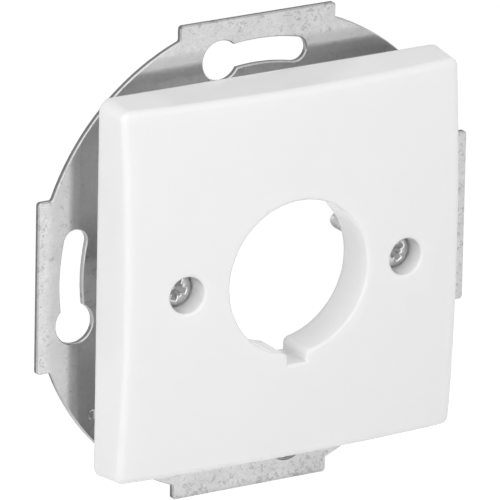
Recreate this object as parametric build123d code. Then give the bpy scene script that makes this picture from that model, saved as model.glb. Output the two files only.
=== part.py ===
from build123d import *
from math import atan, degrees
import os

# XLR connector wall insert: a white moulded cover plate screwed to a stamped steel support ring.
# The origin is the centre of the ring on the wall plane: +X right, +Z up, +Y into the wall.
# Lengths are in millimetres. A depth is counted from the wall plane towards the room, along -Y.

# Keyholes for the box screws, one in each tab of the ring
FIXING_RADIUS = 30.1
KEYHOLE_ROUND_RADIUS = 3.0
KEYHOLE_ROUND_ANGLE = 11.6
SLOT_WIDTH = 3.65
SLOT_END_ANGLE = 11.8
TAB_ANGLES = (0, 90, 180, 270)

# Support ring, flat sheet
SHEET = 0.85
OUTER_LAND = 2.4
INNER_LAND = 3.6
TAB_WIDTH = 25.6
TAB_STEP = 2.2
TAB_CORNER_RADIUS = 0.5
TAB_ROOT_RADIUS = 0.4
EDGE_BREAK = 0.15

# Small pressed mark near the lower left edge of the ring
MARK_EDGE_GAP = 2.45
MARK_ANGLE = 217.3
MARK_RADIUS = 0.8
MARK_DEPTH = 0.35

# Two fixing screws, pan head with a cross recess that has a small notch between its wings
SCREW_SPACING = 36.1
SCREW_DIAMETER = 2.5
SCREW_LENGTH = 14.0
SCREW_TIP_DIAMETER = 2.1
SCREW_TIP_TAPER = 0.8
HEAD_DIAMETER = 5.0
HEAD_HEIGHT = 2.1
HEAD_SLOPE_HEIGHT = 0.5
HEAD_SLOPE_WIDTH = 0.6
HEAD_SEAT_DEPTH = 7.6
RECESS_WING_REACH = 1.6
RECESS_WING_WIDTH = 0.85
RECESS_CORE_RADIUS = 0.95
RECESS_NOTCH_REACH = 1.15
RECESS_NOTCH_WIDTH = 0.35
RECESS_DEPTH = 1.4
RECESS_TURN_LEFT = -17
RECESS_TURN_RIGHT = 30

# Fits
THREAD_CLEARANCE = 0.03
SHANK_CLEARANCE = 0.2
HEAD_CLEARANCE = 0.225

# Lugs and their formed threaded collars, one behind each screw
LUG_HALF_WIDTH = 2.6
LUG_ROOT_RADIUS = 1.5
THREAD_COLLAR_WALL = 0.62
THREAD_COLLAR_LENGTH = 1.2

# Cover plate, outside
RIM_WIDTH = 56.6
RIM_STANDOFF = 4.55
RIM_CORNER_RADIUS = 1.9
RIM_EDGE_BREAK = 0.25
FRONT_WIDTH = 55.0
FRONT_EDGE_DEPTH = 12.0
CROWN_RADIUS = 240.0
FACE_EDGE_BEVEL = 0.5
FACE_EDGE_EASE = 0.17
FACE_LAST_BREAK = 0.25

# Cover plate, inside
SIDE_WALL = 1.8
FRONT_WALL = 2.2
BOSS_WALL = 1.3
RIB_THICKNESS = 1.2
RIB_HEIGHT = 3.4

# Connector hole with its key notch
HOLE_RADIUS = 11.4
HOLE_WALL_LENGTH = 6.6
COLLAR_WALL = 1.8
NOTCH_WIDTH = 3.1
NOTCH_FLOOR = 13.05
NOTCH_LIP_RADIUS = 0.95
NOTCH_WALL = 1.7

# How near a point lies to the face or plane that it is picked by
NEAR = 0.005

# Worked out from the dimensions above
RING_REACH = FIXING_RADIUS + KEYHOLE_ROUND_RADIUS + OUTER_LAND
RING_ROUND_RADIUS = ((RING_REACH - TAB_STEP) ** 2 + (TAB_WIDTH / 2) ** 2) ** 0.5
OPENING_RADIUS = FIXING_RADIUS - KEYHOLE_ROUND_RADIUS - INNER_LAND
SCREW_X = SCREW_SPACING / 2
HEAD_BORE_RADIUS = HEAD_DIAMETER / 2 + HEAD_CLEARANCE
SHANK_HOLE_RADIUS = SCREW_DIAMETER / 2 + SHANK_CLEARANCE
THREAD_HOLE_RADIUS = SCREW_DIAMETER / 2 + THREAD_CLEARANCE
BOSS_RADIUS = HEAD_BORE_RADIUS + BOSS_WALL
CROWN_BULGE = (FRONT_WIDTH / 2) ** 2 / (2 * CROWN_RADIUS)
FACE_DEPTH = FRONT_EDGE_DEPTH + CROWN_BULGE
BEYOND_FACE = FACE_DEPTH + FRONT_WALL
CROWN_CENTRE_Y = CROWN_RADIUS - FACE_DEPTH
HOLE_BACK_DEPTH = FACE_DEPTH - HOLE_RADIUS**2 / (2 * CROWN_RADIUS) - HOLE_WALL_LENGTH
TAPER = (RIM_WIDTH - FRONT_WIDTH) / 2 / (FRONT_EDGE_DEPTH - RIM_STANDOFF)


def wall_plane(depth):
    """Plane parallel to the wall at a depth towards the room: local x is +X, local y is +Z."""
    return Plane.XZ.offset(depth)


def disc(radius, near, far, x=0.0):
    """Round solid along Y between two depths."""
    outline = wall_plane(near) * Pos(x, 0) * Circle(radius)
    return extrude(outline, far - near)


def crown_ball(wall):
    """Ball whose near side is the crowned face, moved inwards by a wall thickness."""
    return Pos(0, CROWN_CENTRE_Y, 0) * Sphere(CROWN_RADIUS - wall)


def keyhole():
    """Outline of the top keyhole: a round hole that runs into a slot bent about the centre."""
    start = 90 + KEYHOLE_ROUND_ANGLE
    end = 90 - SLOT_END_ANGLE
    centre_line = CenterArc((0, 0), FIXING_RADIUS, end, start - end)
    slot = SlotArc(centre_line, SLOT_WIDTH)
    head = Pos(centre_line @ 1) * Circle(KEYHOLE_ROUND_RADIUS)
    return slot + head


def ring_outline():
    """Round disc with four square tabs, without its holes."""
    tabs = Rectangle(2 * RING_REACH, TAB_WIDTH) + Rectangle(TAB_WIDTH, 2 * RING_REACH)
    outline = (Circle(RING_ROUND_RADIUS) + tabs) & Rectangle(2 * RING_REACH, 2 * RING_REACH)
    corners = [v for v in outline.vertices() if on_tab_side(v) and on_tab_end(v)]
    outline = fillet(corners, TAB_CORNER_RADIUS)
    roots = [v for v in outline.vertices() if on_tab_side(v) and on_round(v)]
    return fillet(roots, TAB_ROOT_RADIUS)


def on_tab_side(vertex):
    """True for a point on the side of a tab."""
    return abs(min(abs(vertex.X), abs(vertex.Y)) - TAB_WIDTH / 2) < NEAR


def on_tab_end(vertex):
    """True for a point on the straight outer end of a tab."""
    return abs(max(abs(vertex.X), abs(vertex.Y)) - RING_REACH) < NEAR


def on_round(vertex):
    """True for a point on the round part of the ring's outline."""
    return abs((vertex.X**2 + vertex.Y**2) ** 0.5 - RING_ROUND_RADIUS) < NEAR


def opening_outline():
    """Inner opening of the ring, with the two lugs standing into it."""
    opening = Circle(OPENING_RADIUS)
    for side in (-1, 1):
        length = OPENING_RADIUS - SCREW_X
        lug = Pos(side * (SCREW_X + length / 2), 0) * Rectangle(length, 2 * LUG_HALF_WIDTH)
        opening -= lug + Pos(side * SCREW_X, 0) * Circle(LUG_HALF_WIDTH)
    roots = [v for v in opening.vertices() if abs((v.X**2 + v.Y**2) ** 0.5 - OPENING_RADIUS) < NEAR]
    return fillet(roots, LUG_ROOT_RADIUS)


def support_ring():
    """Stamped steel ring that carries the cover plate and is screwed to the wall box."""
    blank = ring_outline() - opening_outline()
    for angle in TAB_ANGLES:
        blank -= Rot(0, 0, angle) * keyhole()
    ring = extrude(Plane.XZ * blank, SHEET)
    front_edges = ring.edges().filter_by(lambda e: abs(e.center().Y + SHEET) < NEAR)
    ring = chamfer(front_edges, EDGE_BREAK)
    collar_radius = THREAD_HOLE_RADIUS + THREAD_COLLAR_WALL
    for side in (-1, 1):
        x = side * SCREW_X
        ring += disc(collar_radius, -THREAD_COLLAR_LENGTH, SHEET / 2, x)
        ring -= disc(THREAD_HOLE_RADIUS, -2 * THREAD_COLLAR_LENGTH, 2 * SHEET, x)
    return ring - pressed_mark()


def pressed_mark():
    """Cap of a ball that dents the front of the sheet."""
    ball_radius = (MARK_RADIUS**2 + MARK_DEPTH**2) / (2 * MARK_DEPTH)
    centre_depth = SHEET + ball_radius - MARK_DEPTH
    ball = Pos(RING_ROUND_RADIUS - MARK_EDGE_GAP, -centre_depth, 0) * Sphere(ball_radius)
    return Rot(0, -MARK_ANGLE, 0) * ball


def tapered_block(depth, inset):
    """Body with the plate's tapered sides, set in by an inset, from a depth to the crown."""
    width = RIM_WIDTH - 2 * TAPER * (depth - RIM_STANDOFF) - 2 * inset
    outline = wall_plane(depth) * RectangleRounded(width, width, RIM_CORNER_RADIUS)
    return extrude(outline, FACE_DEPTH - depth, taper=degrees(atan(TAPER)))


def plate_shell():
    """Crowned, tapered cap, open towards the wall."""
    outside = tapered_block(RIM_STANDOFF, 0) & crown_ball(0)
    outside = chamfer(outside.edges().filter_by(on_face), FACE_EDGE_BEVEL)
    foot = [e for e in outside.edges() if runs_round(e) and not on_face(e) and not on_rim(e)]
    outside = chamfer(foot, FACE_EDGE_EASE)
    outside = chamfer(outside.edges().filter_by(on_face), FACE_EDGE_EASE)
    outside = chamfer(outside.edges().filter_by(on_rim), RIM_EDGE_BREAK)
    inside = tapered_block(RIM_STANDOFF - SHEET, SIDE_WALL) & crown_ball(FRONT_WALL)
    return outside - inside


def on_face(edge):
    """True for an edge that lies on the crowned face."""
    centre = Vector(0, CROWN_CENTRE_Y, 0)
    return all(abs((edge @ t - centre).length - CROWN_RADIUS) < NEAR for t in (0.25, 0.5, 0.75))


def on_rim(edge):
    """True for an edge that lies in the plane of the rim, next to the ring."""
    return all(abs((edge @ t).Y + RIM_STANDOFF) < NEAR for t in (0, 0.5, 1))


def runs_round(edge):
    """True for an edge that runs round the plate rather than along its depth."""
    return abs((edge % 0.5).Y) < 0.5


def plate_bosses():
    """Collar of the connector hole, wall of its notch, screw bosses and stiffening ribs."""
    wall_end = NOTCH_FLOOR + NOTCH_WALL
    notch_wall = Pos(0, -wall_end / 2) * Rectangle(NOTCH_WIDTH + 2 * NOTCH_WALL, wall_end)
    collar = wall_plane(HOLE_BACK_DEPTH) * (Circle(HOLE_RADIUS + COLLAR_WALL) + notch_wall)
    bosses = extrude(collar, FACE_DEPTH)
    for side in (-1, 1):
        x = side * SCREW_X
        bosses += disc(BOSS_RADIUS, HOLE_BACK_DEPTH, FACE_DEPTH, x)
        bosses += disc(LUG_HALF_WIDTH, SHEET, FACE_DEPTH, x)
    rib_back = FRONT_EDGE_DEPTH - CROWN_BULGE - RIB_HEIGHT
    ribs = Rectangle(RIM_WIDTH, RIB_THICKNESS) + Rectangle(RIB_THICKNESS, RIM_WIDTH)
    bosses += extrude(wall_plane(rib_back) * ribs, FACE_DEPTH)
    core = tapered_block(SHEET, SIDE_WALL / 2)
    return bosses & core & crown_ball(FRONT_WALL / 2)


def connector_hole():
    """Round hole with a square key notch at the bottom, its lips rounded in plan."""
    outline = Circle(HOLE_RADIUS) + Pos(0, -NOTCH_FLOOR / 2) * Rectangle(NOTCH_WIDTH, NOTCH_FLOOR)
    lips = [v for v in outline.vertices() if abs(v.Y + NOTCH_FLOOR) > NEAR and v.Y < 0]
    outline = fillet(lips, NOTCH_LIP_RADIUS)
    return extrude(wall_plane(0) * outline, BEYOND_FACE)


def cover_plate():
    """White moulded plate: shell, collar and bosses, pierced for the connector and screws."""
    plate = plate_shell() + plate_bosses()
    plate -= connector_hole()
    for side in (-1, 1):
        x = side * SCREW_X
        plate -= disc(HEAD_BORE_RADIUS, HEAD_SEAT_DEPTH, BEYOND_FACE, x)
        plate -= disc(SHANK_HOLE_RADIUS, 0, BEYOND_FACE, x)
    # The outline of the face and the mouths of its holes share the last, finest break
    return chamfer(plate.edges().filter_by(on_face), FACE_LAST_BREAK)


def recess_outline():
    """Cross driver recess: four wings, and a small notch in each corner between them."""
    outline = Circle(RECESS_CORE_RADIUS)
    for angle in (0, 90):
        outline += Rot(0, 0, angle) * Rectangle(2 * RECESS_WING_REACH, RECESS_WING_WIDTH)
        outline += Rot(0, 0, angle + 45) * Rectangle(2 * RECESS_NOTCH_REACH, RECESS_NOTCH_WIDTH)
    return outline


def fixing_screw(side):
    """Pan head screw, its head seated in the plate and its end in the lug's thread."""
    x = side * SCREW_X
    top = HEAD_SEAT_DEPTH + HEAD_HEIGHT
    head = disc(HEAD_DIAMETER / 2, HEAD_SEAT_DEPTH, top - HEAD_SLOPE_HEIGHT, x)
    head += cone(HEAD_DIAMETER / 2, HEAD_DIAMETER / 2 - HEAD_SLOPE_WIDTH, top - HEAD_SLOPE_HEIGHT, top, x)
    turn = RECESS_TURN_LEFT if side < 0 else RECESS_TURN_RIGHT
    recess = wall_plane(top - RECESS_DEPTH) * Pos(x, 0) * Rot(0, 0, turn) * recess_outline()
    head -= extrude(recess, RECESS_DEPTH)
    tip_depth = HEAD_SEAT_DEPTH - SCREW_LENGTH
    taper_depth = tip_depth + SCREW_TIP_TAPER
    shank = disc(SCREW_DIAMETER / 2, taper_depth, HEAD_SEAT_DEPTH, x)
    return head + shank + cone(SCREW_DIAMETER / 2, SCREW_TIP_DIAMETER / 2, taper_depth, tip_depth, x)


def cone(radius, end_radius, depth, end_depth, x):
    """Round solid along Y whose radius changes between two depths."""
    ends = [wall_plane(depth) * Pos(x, 0) * Circle(radius)]
    ends.append(wall_plane(end_depth) * Pos(x, 0) * Circle(end_radius))
    return loft(ends)


os.makedirs("parts", exist_ok=True)
PIECES = {
    "cover_plate": cover_plate(),
    "support_ring": support_ring(),
    "fixing_screw_left": fixing_screw(-1),
    "fixing_screw_right": fixing_screw(1),
}
for name, piece in PIECES.items():
    export_step(piece, f"parts/{name}.step")
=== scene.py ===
from math import ceil, cos, pi, radians, sin

import bmesh
import bpy
from bpy.props import FloatProperty, FloatVectorProperty, IntProperty, PointerProperty
from mathutils import Matrix, Vector


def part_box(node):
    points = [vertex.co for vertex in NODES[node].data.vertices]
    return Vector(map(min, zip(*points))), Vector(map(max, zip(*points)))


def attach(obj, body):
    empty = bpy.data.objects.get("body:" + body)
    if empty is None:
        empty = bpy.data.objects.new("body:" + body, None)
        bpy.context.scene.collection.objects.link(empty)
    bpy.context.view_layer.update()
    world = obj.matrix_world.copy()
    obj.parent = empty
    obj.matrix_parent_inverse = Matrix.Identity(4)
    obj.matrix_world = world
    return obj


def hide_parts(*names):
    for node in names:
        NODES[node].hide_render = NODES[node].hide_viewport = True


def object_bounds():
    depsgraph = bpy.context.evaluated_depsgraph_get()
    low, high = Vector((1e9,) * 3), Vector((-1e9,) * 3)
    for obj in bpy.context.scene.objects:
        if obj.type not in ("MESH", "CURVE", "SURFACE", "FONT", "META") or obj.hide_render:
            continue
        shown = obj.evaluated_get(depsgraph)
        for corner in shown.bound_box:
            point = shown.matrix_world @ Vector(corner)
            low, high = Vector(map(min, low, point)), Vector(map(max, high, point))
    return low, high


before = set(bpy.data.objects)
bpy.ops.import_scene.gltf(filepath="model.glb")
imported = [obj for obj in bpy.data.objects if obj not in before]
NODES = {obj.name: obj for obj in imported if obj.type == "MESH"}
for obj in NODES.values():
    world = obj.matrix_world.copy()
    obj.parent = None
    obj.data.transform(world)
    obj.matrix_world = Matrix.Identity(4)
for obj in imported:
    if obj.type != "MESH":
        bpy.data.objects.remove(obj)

bl_info = {
    "name": "XLR connector wall insert",
    "version": (1, 0, 0),
    "blender": (4, 5, 0),
    "location": "View3D > Sidebar > Wall insert",
    "description": "Finishes, fixing screws and studio for the connector wall insert",
    "category": "Object",
}

# Lengths are in metres unless a name says millimetres. The wall plane is y = 0 and the room is at -Y.
MM = 0.001
CAD_BOX = [list(corner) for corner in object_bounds()]
SCREW_NODES = ("fixing_screw_left", "fixing_screw_right")
# Places of the screw finishes in a screw's list of materials
BRIGHT, DULL, LIP = range(3)

# Screw head: its side stands on a small seat chamfer and ends below the flat top, where a round takes over
SEAT_CHAMFER = 0.12 * MM
SEAT_CHAMFER_FOOT = 0.03 * MM
HEAD_SIDE_END = 0.44 * MM
HEAD_ROUND_DROP = 0.38 * MM
HEAD_ROUND_INSET = 0.42 * MM
HEAD_ROUND_STEPS = 8

# Cross recess: a rolled lip round its mouth, given as (outward, down) in shares of its width; walls at
# shares of the depth, with what each part of the outline loses down there; and a dimple in the floor
LIP_WIDTH = 0.11 * MM
LIP_PROFILE = ((1.25, 0.0), (1.0, 0.08), (0.35, 0.42), (0.0, 1.0))
WALL_SINKS = (0.25, 0.5, 0.75, 0.94, 1.0)
REACH_LOSS, WING_LOSS, CORE_LOSS, NOTCH_LOSS = 0.62, 0.25, 0.5, 0.5
DIMPLE_SHARE = 0.3
DIMPLE_DEPTH = 0.12 * MM
DIMPLE_BOTTOM = 0.2 * MM
WALL_CURVE = 1.1
# Least angle in the outline of the recess, which keeps its sine above zero
LEAST_TURN = 0.001

# Thread: where the crest ends and where the root starts and ends, as shares of the pitch; then how the
# thread runs in below the head and how the point draws in its crest and, by a share of that, its root
CREST_END, ROOT_START, ROOT_END = 0.14, 0.5, 0.64
THREAD_STEPS = 10
PLAIN_LENGTH = 0.5 * MM
RUN_IN_TURNS = 1.5
POINT_LENGTH = 0.8 * MM
POINT_DROP = 0.22 * MM
ROOT_SHARE = 0.5
TIP_DROP = 0.25 * MM
SMOOTH_ANGLE = radians(35)
WELD_DISTANCE = 0.001 * MM

# Finishes of a screw: name, brightness, roughness and share of metal shine
# They are lit and shaded copies of one zinc: the recess walls and thread are painted lighter than the head,
# and the lip round the recess is painted bright for its glints
SCREW_FINISHES = (
    ("bright_zinc_screw", 0.86, 0.22, 1.0),
    ("dull_zinc_screw", 1.12, 0.42, 0.75),
    ("polished_zinc_lip", 1.45, 0.14, 1.0),
)

# Part of a noise's range that holds most of its values
NOISE_RANGE = (0.3, 0.7)
# Likeness of two normals where an edge's mask starts and where it is full
EDGE_LIKENESS = (0.995, 0.86)
# Scales of the ring's mottling, in cycles per metre
PATCH_SCALE, CLOUD_SCALE, BLOTCH_SCALE, SPECK_SCALE, GRAIN_SCALE = 170.0, 260.0, 1300.0, 1700.0, 5200.0
# Dark specks: the noise from which they show, the width of their soft edge, and how dark they are
SPECK_LEAST, SPECK_BLUR, SPECK_DARKNESS = 0.63, 0.09, 0.3
# Distances from the ring's centre between which its finish and its painted shading change
ACROSS_RING = (-38 * MM, 38 * MM)
TAB_ENDS = (28 * MM, 34 * MM)
OUTER_EDGE = (32.2 * MM, 35.2 * MM)
SLOT_END = (31 * MM, 33 * MM)
BOTTOM_TAB = (-29 * MM, -33 * MM)
LOWEST_EDGE = (-34.7 * MM, -35.3 * MM)
# Share of Y in a normal, from which a face counts as the sheet's cut side
CUT_NORMAL = (0.99, 0.75)
# Half width of the soft change from the burnished to the broken part of a cut side
BURNISH_BLUR = 0.1 * MM
# Parts of a normal, X and Z, between which a cut side counts as facing left and as facing up
FACES_LEFT = (-0.3, -0.8)
FACES_UP = (0.1, 0.4)
# How much darker the cut side is than the face: usual and facing left, more where it also faces up, and
# for the broken part usual and in the left-facing side of a slot
# The usual darkness is the cut side's own; the change with facing is painted shade, and in the slots painted
# light
BURNISHED_LOSS = (0.2, 0.36)
SLANTED_PAINTED_SHADE = 0.25
BROKEN_LOSS = (0.7, 0.42)

# Lamps: name, place, width of the square and the setting of its power
LAMPS = (
    ("key_lamp", (-0.9, -0.79, 0.91), 2.3, "key_power"),
    ("side_lamp", (-1.12, -0.36, 0.3), 1.4, "side_power"),
    ("fill_lamp", (0.5, -0.7, 0.1), 0.6, "fill_power"),
)
SENSOR_WIDTH = 36.0
# Half width of the change from the sky in front to the sky behind, as the Y of a direction
SKY_BLEND = 0.3
FLOOR_REACH = 3.0
FLOOR_GLOW = 0.45
# Width and height of a place in the layout of a node tree, and the rows in it
NODE_WIDTH, NODE_HEIGHT, NODE_ROWS = 190, 160, 3


class PlateSettings(bpy.types.PropertyGroup):
    """White moulded cover plate."""

    colour: FloatVectorProperty(
        name="Colour",
        description="Colour of the white plastic",
        subtype="COLOR",
        size=3,
        min=0,
        max=1,
        default=(0.93, 0.93, 0.93),
    )
    roughness: FloatProperty(
        name="Roughness",
        description="Gloss of the moulded face; lower is glossier",
        default=0.1,
        min=0,
        max=1,
    )
    edge_round: FloatProperty(
        name="Edge rounding",
        description="Radius that softens the moulded edges",
        subtype="DISTANCE",
        unit="LENGTH",
        default=0.0004,
        min=0,
    )
    softness: FloatProperty(
        name="Light spread",
        description="Distance that light spreads inside the white plastic",
        subtype="DISTANCE",
        unit="LENGTH",
        default=0.0012,
        min=0,
    )


class RingSettings(bpy.types.PropertyGroup):
    """Stamped support ring of zinc-coated sheet."""

    colour: FloatVectorProperty(
        name="Colour",
        description="Colour of the zinc coating",
        subtype="COLOR",
        size=3,
        min=0,
        max=1,
        default=(0.6, 0.6, 0.605),
    )
    roughness: FloatProperty(
        name="Roughness",
        description="Satin of the coating",
        default=0.13,
        min=0,
        max=1,
    )
    mottling: FloatProperty(
        name="Mottling",
        description="Strength of the blotches in the coating",
        default=0.8,
        min=0,
    )
    edge_round: FloatProperty(
        name="Edge rounding",
        description="Radius of the rolled-over stamped edge",
        subtype="DISTANCE",
        unit="LENGTH",
        default=0.00006,
        min=0,
    )
    burnish_line: FloatProperty(
        name="Burnish line",
        description="Distance from the wall plane to where the cut side turns from burnished to dull",
        subtype="DISTANCE",
        unit="LENGTH",
        default=0.00055,
        min=0,
    )


class ScrewSettings(bpy.types.PropertyGroup):
    """Two fixing screws, pan head with a cross recess."""

    colour: FloatVectorProperty(
        name="Colour",
        description="Colour of the bright zinc plating",
        subtype="COLOR",
        size=3,
        min=0,
        max=1,
        default=(0.66, 0.66, 0.66),
    )
    head_height: FloatProperty(
        name="Head height",
        description="Height of the pan head above its seat",
        subtype="DISTANCE",
        unit="LENGTH",
        default=0.0021,
        min=0.0005,
    )
    shank_radius: FloatProperty(
        name="Shank radius",
        description="Radius over the crests of the thread",
        subtype="DISTANCE",
        unit="LENGTH",
        default=0.00124,
        min=0.0003,
    )
    thread_pitch: FloatProperty(
        name="Thread pitch",
        description="Distance between two crests of the thread",
        subtype="DISTANCE",
        unit="LENGTH",
        default=0.00045,
        min=0.0002,
    )
    thread_depth: FloatProperty(
        name="Thread depth",
        description="Depth of the thread from crest to root",
        subtype="DISTANCE",
        unit="LENGTH",
        default=0.00026,
        min=0.00005,
    )
    wing_reach: FloatProperty(
        name="Wing reach",
        description="Distance from the axis to the end of a wing of the recess",
        subtype="DISTANCE",
        unit="LENGTH",
        default=0.0016,
        min=0.0004,
    )
    wing_width: FloatProperty(
        name="Wing width",
        description="Width of a wing of the recess at its mouth",
        subtype="DISTANCE",
        unit="LENGTH",
        default=0.00085,
        min=0.0002,
    )
    core_radius: FloatProperty(
        name="Core radius",
        description="Radius of the round middle of the recess at its mouth",
        subtype="DISTANCE",
        unit="LENGTH",
        default=0.00095,
        min=0.0002,
    )
    notch_reach: FloatProperty(
        name="Notch reach",
        description="Distance from the axis to the end of the small notch between two wings",
        subtype="DISTANCE",
        unit="LENGTH",
        default=0.00115,
        min=0.0002,
    )
    notch_width: FloatProperty(
        name="Notch width",
        description="Width of the small notch between two wings",
        subtype="DISTANCE",
        unit="LENGTH",
        default=0.00035,
        min=0.0001,
    )
    recess_depth: FloatProperty(
        name="Recess depth",
        description="Depth of the recess wall",
        subtype="DISTANCE",
        unit="LENGTH",
        default=0.0016,
        min=0.0002,
    )
    turn_left: FloatProperty(
        name="Turn of the left screw",
        description="Angle at which the left screw's recess stopped",
        subtype="ANGLE",
        unit="ROTATION",
        default=radians(-17),
    )
    turn_right: FloatProperty(
        name="Turn of the right screw",
        description="Angle at which the right screw's recess stopped",
        subtype="ANGLE",
        unit="ROTATION",
        default=radians(30),
    )
    segments: IntProperty(
        name="Segments",
        description="Number of steps round each screw",
        default=192,
        min=48,
        max=480,
    )


class StageSettings(bpy.types.PropertyGroup):
    """Camera, lamps, floor and sky."""

    camera_azimuth: FloatProperty(
        name="Camera azimuth",
        description="Angle of the camera round the insert",
        subtype="ANGLE",
        unit="ROTATION",
        default=radians(-31.378),
    )
    camera_elevation: FloatProperty(
        name="Camera elevation",
        description="Angle of the camera above the horizon",
        subtype="ANGLE",
        unit="ROTATION",
        default=radians(18.893),
    )
    camera_roll: FloatProperty(
        name="Camera roll",
        description="Turn of the camera about its own axis",
        subtype="ANGLE",
        unit="ROTATION",
        default=radians(1.157),
    )
    camera_distance: FloatProperty(
        name="Camera distance",
        description="Distance from the camera to the point that it looks at",
        subtype="DISTANCE",
        unit="LENGTH",
        default=1.351657,
        min=0.1,
    )
    camera_target: FloatVectorProperty(
        name="Camera target",
        description="Point that the camera looks at",
        subtype="TRANSLATION",
        unit="LENGTH",
        size=3,
        default=(-0.000172, 0.0, 0.000072),
    )
    lens: FloatProperty(
        name="Lens",
        description="Focal length in millimetres on a 36 mm sensor",
        unit="CAMERA",
        default=682.054,
        min=10,
    )
    floor_drop: FloatProperty(
        name="Floor drop",
        description="Distance from the lowest point of the insert down to the floor",
        subtype="DISTANCE",
        unit="LENGTH",
        default=0.07,
        min=0,
    )
    floor_colour: FloatVectorProperty(
        name="Floor colour",
        description="Colour of the pale floor",
        subtype="COLOR",
        size=3,
        min=0,
        max=1,
        default=(0.9, 0.9, 0.9),
    )
    sky_front: FloatProperty(
        name="Sky level in front",
        description="Level of the plain light from the room side",
        default=0.775,
        min=0,
    )
    sky_back: FloatProperty(
        name="Sky level behind",
        description="Level of the plain light from the wall side",
        default=0.25,
        min=0,
    )
    key_power: FloatProperty(
        name="Key lamp",
        description="Power of the large lamp at the upper left",
        subtype="POWER",
        unit="POWER",
        default=10.3,
        min=0,
    )
    side_power: FloatProperty(
        name="Side lamp",
        description="Power of the lamp at the left, close to the plane of the wall",
        subtype="POWER",
        unit="POWER",
        default=2.85,
        min=0,
    )
    fill_power: FloatProperty(
        name="Fill lamp",
        description="Power of the soft lamp in front",
        subtype="POWER",
        unit="POWER",
        default=0.15,
        min=0,
    )


class Graph:
    """Adds and joins the nodes of one tree."""

    def __init__(self, tree):
        self.tree = tree
        self.nodes = tree.nodes
        self.column = 0

    def add(self, kind, values=None, **facts):
        """New node, with its settings and with its inputs set or joined."""
        node = self.nodes.new(kind)
        self.column += 1
        node.location = (self.column * NODE_WIDTH, -(self.column % NODE_ROWS) * NODE_HEIGHT)
        for name, value in facts.items():
            setattr(node, name, value)
        for key, value in (values or {}).items():
            self.feed(node.inputs[key], value)
        return node

    def feed(self, socket, value):
        """Joins a socket to an output, or sets its value."""
        if isinstance(value, bpy.types.NodeSocket):
            self.tree.links.new(value, socket)
        else:
            socket.default_value = value

    def maths(self, operation, first, second=0.0, clamp=False):
        """Result of one operation on two values."""
        values = {0: first, 1: second}
        return self.add("ShaderNodeMath", values, operation=operation, use_clamp=clamp).outputs[0]

    def span(self, value, low, high, to_low=0.0, to_high=1.0):
        """Value moved from one range to another, held inside it, with soft ends."""
        values = {"Value": value, "From Min": low, "From Max": high, "To Min": to_low, "To Max": to_high}
        return self.add("ShaderNodeMapRange", values, interpolation_type="SMOOTHSTEP").outputs["Result"]

    def noise(self, scale, detail, place, rough=0.55, warp=0.0):
        """Noise between 0 and 1 at a scale in cycles per metre."""
        values = {"Scale": scale, "Detail": detail, "Roughness": rough, "Distortion": warp, "Vector": place}
        return self.add("ShaderNodeTexNoise", values).outputs["Fac"]

    def total(self, *values):
        """Sum of several values."""
        result = values[0]
        for value in values[1:]:
            result = self.maths("ADD", result, value)
        return result

    def times(self, first, second):
        """Product of two values."""
        return self.maths("MULTIPLY", first, second)

    def rounding(self, radius):
        """Normal that rounds sharp edges by a radius."""
        return self.add("ShaderNodeBevel", {"Radius": radius}, samples=8).outputs["Normal"]

    def bump(self, height, strength, distance):
        """Bump node that raises the surface by a height."""
        values = {"Strength": strength, "Distance": distance, "Height": height}
        return self.add("ShaderNodeBump", values)

    def tone(self, colour, value):
        """Colour made darker or lighter by a value."""
        mix = self.add("ShaderNodeMix", data_type="RGBA", blend_type="MULTIPLY")
        mix.inputs["Factor"].default_value = 1.0
        self.feed(mix.inputs["A"], colour)
        self.feed(mix.inputs["B"], value)
        return mix.outputs["Result"]


def new_group(name, inputs, outputs):
    """Empty shader group with its sockets, and its graph with both ends."""
    tree = bpy.data.node_groups.new(name, "ShaderNodeTree")
    for label, default in inputs:
        socket = tree.interface.new_socket(label, in_out="INPUT", socket_type="NodeSocketFloat")
        socket.default_value = default
    for label, kind in outputs:
        tree.interface.new_socket(label, in_out="OUTPUT", socket_type=kind)
    graph = Graph(tree)
    start = graph.add("NodeGroupInput")
    end = graph.add("NodeGroupOutput")
    return graph, start.outputs, end.inputs


def edge_mask_group():
    """Mask of edges, from how far the surface turns within a width, broken into patches; the materials paint
    highlights and glints along it.
    """
    graph, given, wanted = new_group(
        "Edge mask",
        [("Width", 0.0002), ("Patchiness", 0.5), ("Scale", 900.0)],
        [("Mask", "NodeSocketFloat")],
    )
    rounded = graph.add("ShaderNodeBevel", {"Radius": given["Width"]}, samples=6)
    normal = graph.add("ShaderNodeNewGeometry").outputs["Normal"]
    likeness = graph.add("ShaderNodeVectorMath", operation="DOT_PRODUCT")
    graph.feed(likeness.inputs[0], rounded.outputs["Normal"])
    graph.feed(likeness.inputs[1], normal)
    turned = graph.span(likeness.outputs["Value"], *EDGE_LIKENESS)
    place = graph.add("ShaderNodeTexCoord").outputs["Object"]
    speckle = graph.span(graph.noise(given["Scale"], 4.0, place), 0.35, 0.7)
    patchy = graph.times(speckle, given["Patchiness"])
    kept = graph.maths("SUBTRACT", 1.0, patchy, clamp=True)
    graph.feed(wanted["Mask"], graph.times(turned, kept))
    return graph.tree


def fine_bump_group():
    """Height of a fine uneven surface: a slow wave and a fine grain."""
    graph, given, wanted = new_group(
        "Fine unevenness",
        [("Wave scale", 120.0), ("Grain scale", 3500.0), ("Grain share", 0.4)],
        [("Height", "NodeSocketFloat"), ("Variation", "NodeSocketFloat")],
    )
    place = graph.add("ShaderNodeTexCoord").outputs["Object"]
    wave = graph.noise(given["Wave scale"], 2.0, place)
    grain = graph.noise(given["Grain scale"], 3.0, place)
    graph.feed(wanted["Height"], graph.total(wave, graph.times(grain, given["Grain share"])))
    graph.feed(wanted["Variation"], wave)
    return graph.tree


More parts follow.
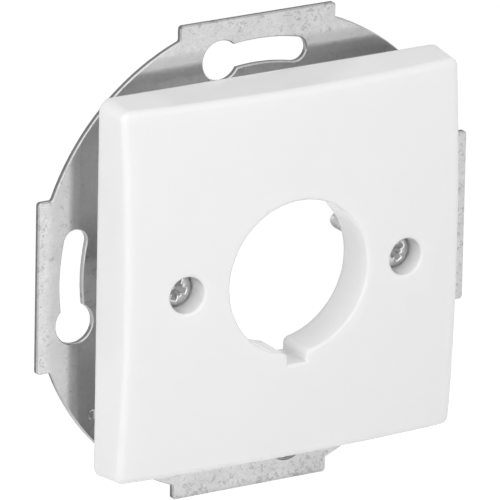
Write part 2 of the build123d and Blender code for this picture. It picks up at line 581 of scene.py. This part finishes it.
def new_material(name):
    """Material with an empty Principled shader, and its graph."""
    material = bpy.data.materials.new(name)
    material.use_nodes = True
    material.node_tree.nodes.clear()
    graph = Graph(material.node_tree)
    shader = graph.add("ShaderNodeBsdfPrincipled")
    graph.add("ShaderNodeOutputMaterial", {"Surface": shader.outputs["BSDF"]})
    return material, graph, shader.inputs


def placed(graph, tree, **values):
    """Shader group placed in a material with its own values."""
    node = graph.add("ShaderNodeGroup", node_tree=tree)
    for label, value in values.items():
        graph.feed(node.inputs[label.replace("_", " ")], value)
    return node.outputs


def plate_plastic(settings, groups):
    """Glossy white moulded thermoplastic, faintly uneven as moulded faces are, with a faint painted
    highlight along its edges.
    """
    material, graph, shader = new_material("moulded_white_plastic")
    white = (*settings.colour, 1.0)
    uneven = placed(graph, groups["uneven"], Wave_scale=70.0, Grain_scale=2600.0, Grain_share=0.25)
    edge = placed(graph, groups["edge"], Width=settings.edge_round, Patchiness=0.6, Scale=500.0)
    shade = graph.span(uneven["Variation"], *NOISE_RANGE, 0.985, 1.0)
    # Painted highlight: the edges are made up to 3 % brighter
    edge_tone_and_painted_light = graph.times(edge["Mask"], 0.03)
    shade = graph.maths("ADD", shade, edge_tone_and_painted_light, clamp=True)
    shader["IOR"].default_value = 1.47
    shader["Subsurface Weight"].default_value = 0.85
    shader["Subsurface Radius"].default_value = (1.0, 1.0, 1.0)
    shader["Subsurface Scale"].default_value = settings.softness
    graph.feed(shader["Base Color"], graph.tone(white, shade))
    gloss = settings.roughness
    graph.feed(shader["Roughness"], graph.span(uneven["Variation"], 0.25, 0.75, gloss - 0.03, gloss + 0.04))
    bump = graph.bump(uneven["Height"], 0.25, 0.01 * MM)
    graph.feed(bump.inputs["Normal"], graph.rounding(settings.edge_round))
    graph.feed(shader["Normal"], bump.outputs["Normal"])
    return material


def ring_clouds(graph, place, strength):
    """Tone of the zinc in slow clouds, blotches and grain, and the blotches by themselves."""
    cloud = graph.noise(CLOUD_SCALE, 3.0, place, 0.5)
    blotch = graph.noise(BLOTCH_SCALE, 3.0, place, 0.6, 0.6)
    grain = graph.noise(GRAIN_SCALE, 2.0, place, 0.6)
    tone = graph.total(
        graph.span(cloud, 0.35, 0.65, 1.0 - 0.05 * strength, 1.0 + 0.03 * strength),
        graph.span(blotch, *NOISE_RANGE, -0.045 * strength, 0.04 * strength),
        graph.span(grain, *NOISE_RANGE, -0.05 * strength, 0.04 * strength),
    )
    return tone, blotch


def ring_painted_shading(graph, where):
    """Painted shading over the ring, standing in for how light and reflections fall on it: paler to the
    left, darker on top and bottom tabs and along the lowest edge.
    """
    leftward = graph.maths("SUBTRACT", graph.times(where["Z"], 0.1), where["X"])
    paler = graph.span(leftward, *ACROSS_RING, -0.06, 0.12)
    tabs = graph.span(graph.maths("ABSOLUTE", where["Z"]), *TAB_ENDS, 0.0, -0.05)
    lowest_edge = graph.span(where["Z"], *LOWEST_EDGE, 0.0, -0.12)
    return graph.total(paler, tabs, lowest_edge)


def ring_specks(graph, place, where, reach):
    """Mask of dark specks, which gather in patches, near the outer edges and on the bottom tab."""
    near_edge = graph.span(reach, *OUTER_EDGE, 0.0, 0.06)
    patch = graph.span(graph.noise(PATCH_SCALE, 2.0, place), 0.45, 0.65, 0.0, 0.06)
    bottom_tab = graph.span(where["Z"], *BOTTOM_TAB, 0.0, 0.05)
    least = graph.maths("SUBTRACT", SPECK_LEAST, graph.total(near_edge, patch, bottom_tab))
    speckle = graph.noise(SPECK_SCALE, 3.0, place, 0.6, 0.8)
    return graph.span(speckle, least, graph.maths("ADD", least, SPECK_BLUR))


def cut_zones(graph, where, facing, burnish_line):
    """Masks of the cut side: burnished next to the face, and dull where the metal broke away behind it."""
    cut = graph.span(graph.maths("ABSOLUTE", facing["Y"]), *CUT_NORMAL)
    behind = graph.span(where["Y"], -burnish_line - BURNISH_BLUR, -burnish_line + BURNISH_BLUR)
    broken = graph.times(cut, behind)
    return graph.maths("SUBTRACT", cut, broken), broken


def cut_losses(graph, facing, reach):
    """How much darker the two zones of the cut side are than the face.

    Beyond the cut side's own dullness, painted shade makes the sides that face left darker, most of all
    where they also face up. Only in the slots is the broken zone painted paler on that side.
    """
    left = graph.span(facing["X"], *FACES_LEFT)
    slanted = graph.times(left, graph.span(facing["Z"], *FACES_UP))
    in_slot = graph.times(graph.maths("SUBTRACT", left, slanted), graph.span(reach, *SLOT_END, 1.0, 0.0))
    # Darkness of the burnished zone: its own dullness, with painted shade where it faces left
    edge_tone_and_painted_light = graph.span(left, 0.0, 1.0, *BURNISHED_LOSS)
    burnished_loss = graph.total(edge_tone_and_painted_light, graph.times(slanted, SLANTED_PAINTED_SHADE))
    # Broken zone: its own dullness, painted paler in the left-facing sides of the slots
    broken_loss = graph.span(in_slot, 0.0, 1.0, *BROKEN_LOSS)
    return burnished_loss, broken_loss


def ring_zinc(settings, groups):
    """Satin zinc on stamped sheet: faint clouds, grain, dark specks near the edges, dull sheared sides with
    painted shade, and painted shading across the ring.
    """
    material, graph, shader = new_material("satin_zinc_sheet")
    zinc = (*settings.colour, 1.0)
    place = graph.add("ShaderNodeTexCoord").outputs["Object"]
    where = graph.add("ShaderNodeSeparateXYZ", {0: place}).outputs
    true_normal = graph.add("ShaderNodeNewGeometry").outputs["True Normal"]
    facing = graph.add("ShaderNodeSeparateXYZ", {0: true_normal}).outputs
    reach = graph.maths("MAXIMUM", graph.maths("ABSOLUTE", where["X"]), graph.maths("ABSOLUTE", where["Z"]))
    tone, blotch = ring_clouds(graph, place, settings.mottling)
    speck = ring_specks(graph, place, where, reach)
    burnished, broken = cut_zones(graph, where, facing, settings.burnish_line)
    burnished_loss, broken_loss = cut_losses(graph, facing, reach)
    darkness = graph.times(speck, SPECK_DARKNESS * settings.mottling)
    # The coating's clouds, with painted shading across the ring, less the dark specks
    tone = graph.maths("SUBTRACT", graph.total(tone, ring_painted_shading(graph, where)), darkness)
    tone = graph.times(tone, graph.maths("SUBTRACT", 1.0, graph.times(broken, broken_loss)))
    tone = graph.maths("SUBTRACT", tone, graph.times(burnished, burnished_loss))
    graph.feed(shader["Base Color"], graph.tone(zinc, tone))
    shader["Metallic"].default_value = 1.0
    gloss = settings.roughness
    rough = graph.total(
        graph.span(blotch, *NOISE_RANGE, gloss + 0.06, gloss - 0.03),
        graph.times(speck, 0.12),
        graph.times(burnished, 0.15),
        graph.times(broken, 0.35),
    )
    graph.feed(shader["Roughness"], rough)
    uneven = placed(graph, groups["uneven"], Wave_scale=900.0, Grain_scale=4800.0, Grain_share=0.35)
    bump = graph.bump(uneven["Height"], 0.3, 0.01 * MM)
    graph.feed(bump.inputs["Normal"], graph.rounding(settings.edge_round))
    graph.feed(shader["Normal"], bump.outputs["Normal"])
    return material


def screw_zinc(settings, groups, name, level, gloss, metal):
    """Zinc on cold-formed screws, at a level of brightness, a roughness and a share of metal shine.

    The edges get painted glints, but no place is brighter than white.
    """
    material, graph, shader = new_material(name)
    zinc = (*settings.colour, 1.0)
    place = graph.add("ShaderNodeTexCoord").outputs["Object"]
    mottle = graph.noise(1500.0, 4.0, place, 0.6)
    edge = placed(graph, groups["edge"], Width=0.14 * MM, Patchiness=0.4, Scale=1800.0)
    shade = graph.span(mottle, *NOISE_RANGE, 0.82 * level, 1.04 * level)
    # Painted glints: the edges are made much brighter
    shade = graph.total(shade, graph.times(edge["Mask"], 1.1 * level))
    shade = graph.maths("MINIMUM", shade, 1.0 / max(settings.colour))
    graph.feed(shader["Base Color"], graph.tone(zinc, shade))
    shader["Metallic"].default_value = metal
    graph.feed(shader["Roughness"], graph.span(mottle, *NOISE_RANGE, gloss + 0.05, gloss - 0.05))
    uneven = placed(graph, groups["uneven"], Wave_scale=1400.0, Grain_scale=7000.0, Grain_share=0.3)
    bump = graph.bump(uneven["Height"], 0.3, 0.015 * MM)
    graph.feed(shader["Normal"], bump.outputs["Normal"])
    return material


def shared_groups():
    """The node groups that several materials use, built once."""
    names = {"edge": ("Edge mask", edge_mask_group), "uneven": ("Fine unevenness", fine_bump_group)}
    groups = {}
    for key, (name, build) in names.items():
        groups[key] = bpy.data.node_groups.get(name) or build()
    return groups


def dress(piece, material):
    """Gives a piece one material over all its faces."""
    piece.data.materials.clear()
    piece.data.materials.append(material)
    for face in piece.data.polygons:
        face.material_index = 0


def screw_point(axis, radius, angle, depth):
    """Point at a radius and angle about a screw's axis, at a depth towards the room."""
    return (axis[0] + radius * cos(angle), -depth, axis[1] + radius * sin(angle))


def recess_radius(settings, angle, turn, sink, grow=0.0):
    """Radius of the cross recess at an angle: sink is a share of its depth, grow widens the outline."""
    along = (angle - turn) % (pi / 2)
    off_wing = max(min(along, pi / 2 - along), LEAST_TURN)
    off_notch = max(pi / 4 - off_wing, LEAST_TURN)
    reach = settings.wing_reach * (1 - REACH_LOSS * sink) + grow
    wing = settings.wing_width / 2 * (1 - WING_LOSS * sink) + grow
    core = settings.core_radius * (1 - CORE_LOSS * sink) + grow
    notch_reach = settings.notch_reach * (1 - NOTCH_LOSS * sink) + grow
    notch = settings.notch_width / 2 + grow / 2
    return max(core, min(reach, wing / sin(off_wing)), min(notch_reach, notch / sin(off_notch)))


def head_rows(settings, seat, radius):
    """Profile of the pan head from the shank to the flat top, as radius and depth."""
    top = seat + settings.head_height
    rows = [
        (settings.shank_radius, seat),
        (radius - SEAT_CHAMFER, seat),
        (radius - SEAT_CHAMFER_FOOT, seat + SEAT_CHAMFER_FOOT),
        (radius, seat + SEAT_CHAMFER),
        (radius, top - HEAD_SIDE_END),
    ]
    for step in range(1, HEAD_ROUND_STEPS + 1):
        turn = step / HEAD_ROUND_STEPS * pi / 2
        inset = HEAD_ROUND_INSET * (1 - cos(turn))
        drop = HEAD_ROUND_DROP * (1 - sin(turn))
        rows.append((radius - inset, top - drop))
    return rows


def screw_head(settings, axis, seat, radius, turn):
    """Points and faces of the head with its recess, and the finish of each face."""
    count = settings.segments
    top = seat + settings.head_height
    angles = [2 * pi * i / count for i in range(count)]
    rows = [[(r, d)] * count for r, d in head_rows(settings, seat, radius)]
    lip_start = len(rows) * count
    for outward, down in LIP_PROFILE:
        grow, depth = LIP_WIDTH * outward, top - LIP_WIDTH * down
        rows.append([(recess_radius(settings, angle, turn, 0.0, grow), depth) for angle in angles])
    wall_start = (len(rows) - 1) * count
    floor = top - settings.recess_depth
    for sink in WALL_SINKS:
        depth = top - LIP_WIDTH - (settings.recess_depth - LIP_WIDTH) * sink
        rows.append([(recess_radius(settings, angle, turn, sink**WALL_CURVE), depth) for angle in angles])
    rows.append([(settings.core_radius * DIMPLE_SHARE, floor - DIMPLE_DEPTH)] * count)
    points, faces = rings_to_faces(rows, axis, count, floor - DIMPLE_BOTTOM)
    # The lip gets the zinc with painted glints, the recess walls the zinc painted lighter
    finish = [BRIGHT] * lip_start + [LIP] * (wall_start - lip_start) + [DULL] * (len(faces) - wall_start)
    return points, faces, finish


def rings_to_faces(rows, axis, count, end):
    """Closes rows of (radius, depth) into quads, with a fan to a point on the axis at the end's depth."""
    points = []
    for row in rows:
        for i, (radius, depth) in enumerate(row):
            points.append(screw_point(axis, radius, 2 * pi * i / count, depth))
    faces = []
    for j in range(len(rows) - 1):
        for i in range(count):
            k = (i + 1) % count
            faces.append((j * count + i, j * count + k, (j + 1) * count + k, (j + 1) * count + i))
    tip = len(points)
    points.append(screw_point(axis, 0.0, 0.0, end))
    last = (len(rows) - 1) * count
    faces += [(last + i, last + (i + 1) % count, tip) for i in range(count)]
    return points, faces


def thread_profile(share, depth):
    """Distance below the crest at a share of the pitch: flat crest, sloped flanks, narrow root."""
    share %= 1.0
    if share < CREST_END:
        return 0.0
    if share < ROOT_START:
        return depth * (share - CREST_END) / (ROOT_START - CREST_END)
    if share < ROOT_END:
        return depth
    return depth * (1.0 - share) / (1.0 - ROOT_END)


def screw_shank(settings, axis, seat, tip):
    """Points and faces of the threaded shank from the head to the tip, and the finish of each face."""
    count = settings.segments
    crest = settings.shank_radius
    pitch = settings.thread_pitch
    plain = seat - PLAIN_LENGTH
    rows = [[(crest, seat)] * count, [(crest, plain)] * count]
    total = ceil((plain - tip) / pitch * THREAD_STEPS)
    for j in range(total + 1):
        depth = plain - (plain - tip) * j / total
        fade = min(1.0, (plain - depth) / (RUN_IN_TURNS * pitch))
        taper = max(0.0, 1.0 - (depth - tip) / POINT_LENGTH) * POINT_DROP
        root = crest - settings.thread_depth - taper * ROOT_SHARE
        row = []
        for i in range(count):
            share = (plain - depth) / pitch - i / count
            below = thread_profile(share, settings.thread_depth) * fade
            row.append((max(crest - below - taper, root), depth))
        rows.append(row)
    rows.append([(crest - settings.thread_depth - TIP_DROP, tip)] * count)
    points, faces = rings_to_faces(rows, axis, count, tip)
    return points, faces, [DULL] * len(faces)


def joined_mesh(name, parts):
    """One object made of several lists of points and faces, with the finish of each face."""
    points, faces, finish = [], [], []
    for some_points, some_faces, some_finish in parts:
        start = len(points)
        points += some_points
        faces += [tuple(start + i for i in face) for face in some_faces]
        finish += some_finish
    mesh = bpy.data.meshes.new(name)
    mesh.from_pydata(points, [], faces)
    mesh.polygons.foreach_set("material_index", finish)
    form = bmesh.new()
    form.from_mesh(mesh)
    bmesh.ops.remove_doubles(form, verts=form.verts, dist=WELD_DISTANCE)
    bmesh.ops.recalc_face_normals(form, faces=form.faces)
    form.to_mesh(mesh)
    form.free()
    piece = bpy.data.objects.new(name, mesh)
    bpy.context.scene.collection.objects.link(piece)
    return piece


def smooth_below(piece, angle):
    """Smooth shading over edges that turn by less than an angle."""
    piece.data.shade_smooth()
    piece.data.set_sharp_from_angle(angle=angle)


class WALLINSERT_OT_stage(bpy.types.Operator):
    """Makes the camera, the lamps, the sky and the pale floor."""

    bl_idname = "wallinsert.stage"
    bl_label = "Stage"

    def execute(self, context):
        settings = context.scene.wallinsert_stage
        context.scene.view_settings.view_transform = "Standard"
        make_camera(context.scene, settings)
        make_sky(context.scene, settings)
        make_floor(settings)
        for name, place, width, power in LAMPS:
            make_lamp(name, place, width, getattr(settings, power))
        return {"FINISHED"}


class WALLINSERT_OT_cover_plate(bpy.types.Operator):
    """Gives the cover plate its glossy white plastic."""

    bl_idname = "wallinsert.cover_plate"
    bl_label = "Cover plate"

    def execute(self, context):
        dress(NODES["cover_plate"], plate_plastic(context.scene.wallinsert_plate, shared_groups()))
        return {"FINISHED"}


class WALLINSERT_OT_support_ring(bpy.types.Operator):
    """Gives the support ring its satin zinc."""

    bl_idname = "wallinsert.support_ring"
    bl_label = "Support ring"

    def execute(self, context):
        dress(NODES["support_ring"], ring_zinc(context.scene.wallinsert_ring, shared_groups()))
        return {"FINISHED"}


class WALLINSERT_OT_fixing_screws(bpy.types.Operator):
    """Builds the two fixing screws with their threads and cross recesses."""

    bl_idname = "wallinsert.fixing_screws"
    bl_label = "Fixing screws"

    def execute(self, context):
        settings = context.scene.wallinsert_screws
        groups = shared_groups()
        finishes = [screw_zinc(settings, groups, *finish) for finish in SCREW_FINISHES]
        for node, turn in zip(SCREW_NODES, (settings.turn_left, settings.turn_right)):
            low, high = (Vector(corner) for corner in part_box(node))
            axis = ((low.x + high.x) / 2, (low.z + high.z) / 2)
            head_radius = (high.x - low.x) / 2
            seat = -low.y - settings.head_height
            parts = [
                screw_head(settings, axis, seat, head_radius, turn),
                screw_shank(settings, axis, seat, -high.y),
            ]
            piece = joined_mesh("detailed_" + node, parts)
            smooth_below(piece, SMOOTH_ANGLE)
            for material in finishes:
                piece.data.materials.append(material)
            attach(piece, "root")
            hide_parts(node)
        return {"FINISHED"}


def make_camera(scene, settings):
    """Camera at the photograph's viewing angle."""
    azimuth, elevation, roll = settings.camera_azimuth, settings.camera_elevation, settings.camera_roll
    back = Vector((sin(azimuth) * cos(elevation), -cos(azimuth) * cos(elevation), sin(elevation)))
    right = (-back).cross(Vector((0, 0, 1))).normalized()
    up = right.cross(-back)
    across = right * cos(roll) + up * sin(roll)
    upright = up * cos(roll) - right * sin(roll)
    camera_data = bpy.data.cameras.new("camera")
    camera_data.sensor_width = SENSOR_WIDTH
    camera_data.lens = settings.lens
    camera = bpy.data.objects.new("camera", camera_data)
    turn = Matrix((across, upright, back)).transposed().to_4x4()
    place = Vector(settings.camera_target) + back * settings.camera_distance
    camera.matrix_world = Matrix.Translation(place) @ turn
    scene.collection.objects.link(camera)
    scene.camera = camera


def background_rays(graph):
    """One for rays that should see the plain white background."""
    path = graph.add("ShaderNodeLightPath").outputs
    seen = graph.maths("MAXIMUM", path["Is Camera Ray"], path["Is Glossy Ray"])
    return graph.maths("MAXIMUM", seen, path["Is Transmission Ray"])


def make_sky(scene, settings):
    """Plain light from all round, seen as white."""
    world = bpy.data.worlds.new("studio")
    scene.world = world
    world.use_nodes = True
    world.node_tree.nodes.clear()
    graph = Graph(world.node_tree)
    direction = graph.add("ShaderNodeTexCoord").outputs["Generated"]
    depth = graph.add("ShaderNodeSeparateXYZ", {0: direction}).outputs["Y"]
    around = graph.span(depth, -SKY_BLEND, SKY_BLEND, settings.sky_front, settings.sky_back)
    level = graph.span(background_rays(graph), 0.0, 1.0, around, 1.0)
    light = graph.add("ShaderNodeBackground", {"Color": (1, 1, 1, 1), "Strength": level})
    graph.add("ShaderNodeOutputWorld", {"Surface": light.outputs[0]})


def make_floor(settings):
    """Pale floor below the insert, which keeps its shadow."""
    height = CAD_BOX[0][2] - settings.floor_drop
    corners = ((-1, -1), (1, -1), (1, 1), (-1, 1))
    points = [(x * FLOOR_REACH, y * FLOOR_REACH, height) for x, y in corners]
    mesh = bpy.data.meshes.new("floor")
    mesh.from_pydata(points, [], [(0, 1, 2, 3)])
    floor = bpy.data.objects.new("floor", mesh)
    bpy.context.scene.collection.objects.link(floor)
    material, graph, shader = new_material("pale_floor")
    place = graph.add("ShaderNodeTexCoord").outputs["Object"]
    cloud = graph.span(graph.noise(6.0, 2.0, place), *NOISE_RANGE, 0.985, 1.0)
    graph.feed(shader["Base Color"], graph.tone((*settings.floor_colour, 1.0), cloud))
    shader["Roughness"].default_value = 0.9
    shader["Specular IOR Level"].default_value = 0.0
    shader["Emission Color"].default_value = (1, 1, 1, 1)
    graph.feed(shader["Emission Strength"], graph.times(background_rays(graph), FLOOR_GLOW))
    dress(floor, material)


def make_lamp(name, place, width, power):
    """Square soft lamp aimed at the insert."""
    lamp_data = bpy.data.lights.new(name, "AREA")
    lamp_data.size = width
    lamp_data.energy = power
    lamp = bpy.data.objects.new(name, lamp_data)
    lamp.location = place
    lamp.rotation_euler = Vector(place).to_track_quat("Z", "Y").to_euler()
    bpy.context.scene.collection.objects.link(lamp)


class WALLINSERT_PT_panel(bpy.types.Panel):
    """Lists the steps that dress the wall insert."""

    bl_idname = "WALLINSERT_PT_panel"
    bl_label = "Wall insert"
    bl_space_type = "VIEW_3D"
    bl_region_type = "UI"
    bl_category = "Wall insert"

    def draw(self, context):
        scene = context.scene
        for operator, group in STEPS:
            box = self.layout.box()
            box.operator(operator.bl_idname)
            settings = getattr(scene, group)
            for name in settings.__annotations__:
                box.prop(settings, name)


SETTINGS = {
    "wallinsert_plate": PlateSettings,
    "wallinsert_ring": RingSettings,
    "wallinsert_screws": ScrewSettings,
    "wallinsert_stage": StageSettings,
}
STEPS = (
    (WALLINSERT_OT_cover_plate, "wallinsert_plate"),
    (WALLINSERT_OT_support_ring, "wallinsert_ring"),
    (WALLINSERT_OT_fixing_screws, "wallinsert_screws"),
    (WALLINSERT_OT_stage, "wallinsert_stage"),
)
CLASSES = (*SETTINGS.values(), *(operator for operator, group in STEPS), WALLINSERT_PT_panel)


def register():
    """Registers the classes and puts the settings on the scene."""
    for cls in CLASSES:
        bpy.utils.register_class(cls)
    for name, group in SETTINGS.items():
        setattr(bpy.types.Scene, name, PointerProperty(type=group))


def unregister():
    """Takes the settings off the scene and the classes out."""
    for name in SETTINGS:
        delattr(bpy.types.Scene, name)
    for cls in reversed(CLASSES):
        bpy.utils.unregister_class(cls)


def main():
    """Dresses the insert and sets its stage."""
    register()
    bpy.ops.wallinsert.cover_plate()
    bpy.ops.wallinsert.support_ring()
    bpy.ops.wallinsert.fixing_screws()
    bpy.ops.wallinsert.stage()


if __name__ == "__main__":
    main()
